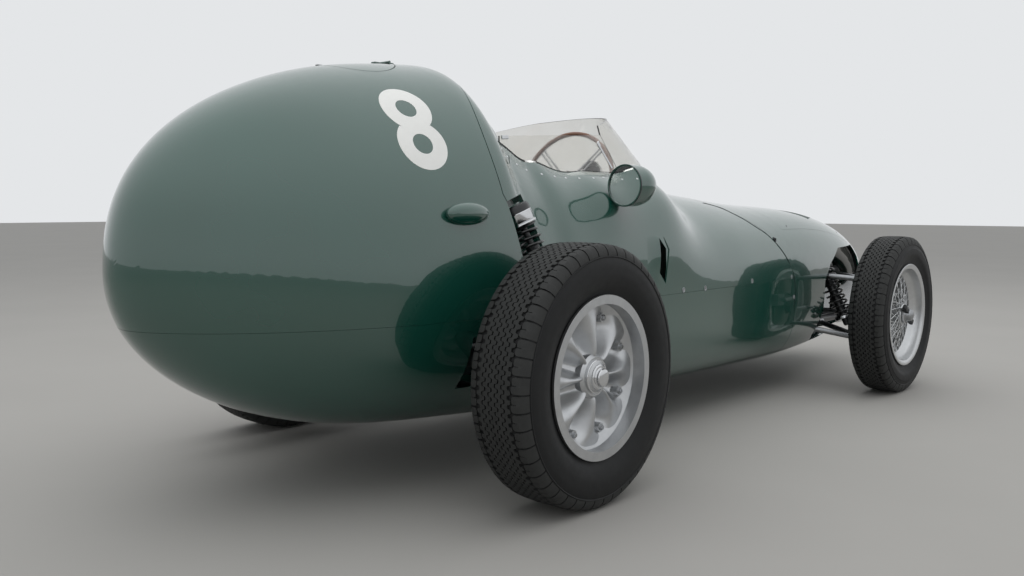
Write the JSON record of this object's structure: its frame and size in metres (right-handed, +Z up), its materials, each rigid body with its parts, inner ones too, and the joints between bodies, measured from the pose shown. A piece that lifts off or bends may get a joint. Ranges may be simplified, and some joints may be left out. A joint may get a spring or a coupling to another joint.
{
  "type": "open wheel racing car",
  "caption": "Front-engined single-seat open wheel racing car with a tall rounded tail, wrap-round screen, cast rear and wire front wheels.",
  "frame": {"origin": "on the ground, under the middle of the overall length", "axes": "+X forward, +Y to the car's left, +Z up"},
  "size_m": [4.1878, 1.5656, 1.244],
  "materials": {
    "green_paint": "gloss green enamel on aluminium sheet",
    "perspex": "clear acrylic sheet",
    "steel_tube": "black painted steel tube",
    "bright_steel": "bare steel",
    "alloy_cast": "cast alloy",
    "wheel_silver": "silver painted wire wheel",
    "tyre": "racing tyre",
    "cast_iron": "plain block",
    "leather": "black leather",
    "wood": "laminated wood rim on alloy spokes",
    "mirror_glass": "mirror",
    "black_metal": "black crackle paint"
  },
  "bodies": {
    "root": {"belly_pan": "green_paint", "bonnet_hatch": "green_paint", "centre_body": "green_paint", "cockpit_bulkhead": "alloy_cast", "dashboard": "black_metal", "de_dion_tube": "steel_tube", "engine_block": "cast_iron", "exhaust_pipe": "bright_steel", "final_drive": "alloy_cast", "frame_cross_tubes": "steel_tube", "frame_hoops": "steel_tube", "front_lower_wishbones": "steel_tube", "front_spring_dampers": "steel_tube", "front_upper_wishbones": "steel_tube", "gear_lever": "bright_steel", "headrest_pad": "leather", "lower_side_panels": "green_paint", "mirror_glasses": "mirror_glass", "mirrors": "green_paint", "nose_cowl": "green_paint", "nose_duct": "green_paint", "radiator": "alloy_cast", "radius_arms": "steel_tube", "rear_spring_dampers": "steel_tube", "screen_side_panel": "perspex", "seat": "leather", "side_vents": "green_paint", "space_frame": "steel_tube", "spring_pockets": "green_paint", "steering_rack": "steel_tube", "tail_pan": "green_paint", "tail_shell": "green_paint", "windscreen": "perspex"},
    "filler_flap": {"filler_flap": "green_paint"},
    "steering_wheel": {"steering_wheel": "wood"},
    "knuckle_left": {"front_upright_left": "bright_steel", "front_caliper_left": "alloy_cast"},
    "front_wheel_left": {"front_wheel_left": "wheel_silver", "front_tyre_left": "tyre", "front_brake_disc_left": "bright_steel"},
    "rear_wheel_left": {"rear_wheel_left": "alloy_cast", "rear_tyre_left": "tyre", "half_shaft_left": "bright_steel"},
    "track_rod_left": {"track_rod_left": "bright_steel"},
    "knuckle_right": {"front_upright_right": "bright_steel", "front_caliper_right": "alloy_cast"},
    "front_wheel_right": {"front_wheel_right": "wheel_silver", "front_tyre_right": "tyre", "front_brake_disc_right": "bright_steel"},
    "rear_wheel_right": {"rear_wheel_right": "alloy_cast", "rear_tyre_right": "tyre", "half_shaft_right": "bright_steel"},
    "track_rod_right": {"track_rod_right": "bright_steel"}
  },
  "joints": [
    {"name": "steer_left", "type": "hinge", "parent": "root", "child": "knuckle_left", "pos_m": [1.206, 0.598, 0.338], "axis": [0, 0, 1], "range_deg": [-22, 22]},
    {"name": "steer_right", "type": "hinge", "parent": "root", "child": "knuckle_right", "pos_m": [1.206, -0.598, 0.338], "axis": [0, 0, 1], "range_deg": [-22, 22]},
    {"name": "steering_wheel_turn", "type": "hinge", "parent": "root", "child": "steering_wheel", "pos_m": [-0.248, 0, 0.883], "axis": [-0.9701, 0, 0.2425], "range_deg": [-198, 198]},
    {"name": "track_rod_pivot_left", "type": "hinge", "parent": "knuckle_left", "child": "track_rod_left", "pos_m": [1.336, 0.585, 0.3133], "axis": [0, 0, 1], "range_deg": [-22, 22]},
    {"name": "front_wheel_spin_left", "type": "hinge", "parent": "knuckle_left", "child": "front_wheel_left", "pos_m": [1.206, 0.69475, 0.338], "axis": [0, 1, 0], "continuous": true},
    {"name": "rear_wheel_spin_left", "type": "hinge", "parent": "root", "child": "rear_wheel_left", "pos_m": [-1.086, 0.65735, 0.3548], "axis": [0, 1, 0], "continuous": true},
    {"name": "track_rod_pivot_right", "type": "hinge", "parent": "knuckle_right", "child": "track_rod_right", "pos_m": [1.336, -0.585, 0.3133], "axis": [0, 0, 1], "range_deg": [-22, 22]},
    {"name": "front_wheel_spin_right", "type": "hinge", "parent": "knuckle_right", "child": "front_wheel_right", "pos_m": [1.206, -0.69475, 0.338], "axis": [0, 1, 0], "continuous": true},
    {"name": "rear_wheel_spin_right", "type": "hinge", "parent": "root", "child": "rear_wheel_right", "pos_m": [-1.086, -0.65735, 0.3548], "axis": [0, 1, 0], "continuous": true},
    {"name": "filler_flap_hinge", "type": "hinge", "parent": "root", "child": "filler_flap", "pos_m": [-1.184, 0, 1.24002], "axis": [0, 1, 0], "range_deg": [0, 100]}
  ],
  "couplings": [
    {"joint": "steer_right", "follows": "steer_left", "ratio": 1},
    {"joint": "steering_wheel_turn", "follows": "steer_left", "ratio": 9},
    {"joint": "track_rod_pivot_left", "follows": "steer_left", "ratio": -1},
    {"joint": "track_rod_pivot_right", "follows": "steer_left", "ratio": -1}
  ]
}
